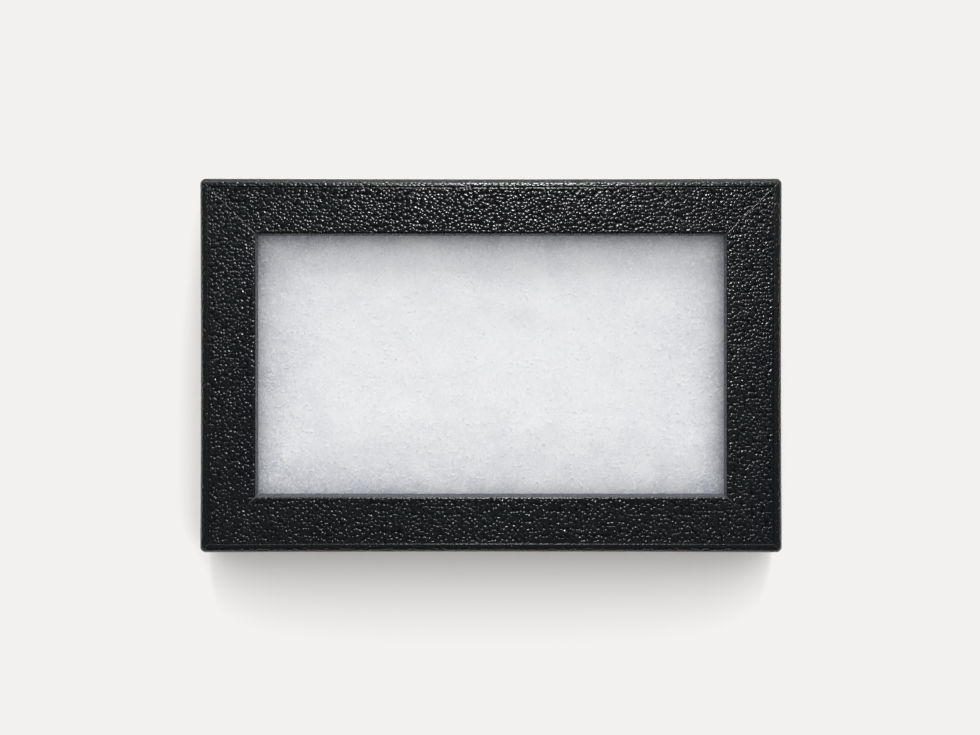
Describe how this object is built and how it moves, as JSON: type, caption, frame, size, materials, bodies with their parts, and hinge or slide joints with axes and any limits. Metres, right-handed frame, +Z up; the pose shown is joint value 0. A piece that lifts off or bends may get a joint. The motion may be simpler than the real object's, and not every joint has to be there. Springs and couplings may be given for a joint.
{
  "type": "riker mount display case",
  "caption": "Shallow black leatherette display box: a lift-off lid with a glass window over a tray filled with white batting.",
  "frame": {"origin": "middle of the underside, on the surface that the case lies on", "axes": "+Z up through the glass, +X along the case's length, +Y across it from the front to the back long side"},
  "size_m": [0.14, 0.09, 0.019],
  "materials": {
    "lid_leatherette": "satin",
    "tray_leatherette": "satin",
    "bottom_paper": "matte",
    "grey_board": "matte",
    "kraft_tape": "matte",
    "clear_glass": "polished",
    "batting": "matte"
  },
  "bodies": {
    "tray": {"tray_floor_board": "grey_board", "tray_wall_front": "grey_board", "tray_wall_back": "grey_board", "tray_wall_left": "grey_board", "tray_wall_right": "grey_board", "tray_stay_front_left": "kraft_tape", "tray_stay_front_right": "kraft_tape", "tray_stay_back_left": "kraft_tape", "tray_stay_back_right": "kraft_tape", "tray_wrap": "tray_leatherette", "tray_bottom_sheet": "bottom_paper", "batting_pad": "batting"},
    "lid": {"lid_face_board": "grey_board", "lid_wall_front": "grey_board", "lid_wall_back": "grey_board", "lid_wall_left": "grey_board", "lid_wall_right": "grey_board", "lid_stay_front_left": "kraft_tape", "lid_stay_front_right": "kraft_tape", "lid_stay_back_left": "kraft_tape", "lid_stay_back_right": "kraft_tape", "lid_wrap_front": "lid_leatherette", "lid_wrap_back": "lid_leatherette", "lid_wrap_left": "lid_leatherette", "lid_wrap_right": "lid_leatherette", "glass_pane": "clear_glass", "glass_retainer_front": "grey_board", "glass_retainer_back": "grey_board", "glass_retainer_left": "grey_board", "glass_retainer_right": "grey_board"}
  },
  "joints": [
    {"name": "lid_lift", "type": "slide", "parent": "tray", "child": "lid", "axis": [0, 0, 1], "range_m": [0, 0.04]}
  ]
}
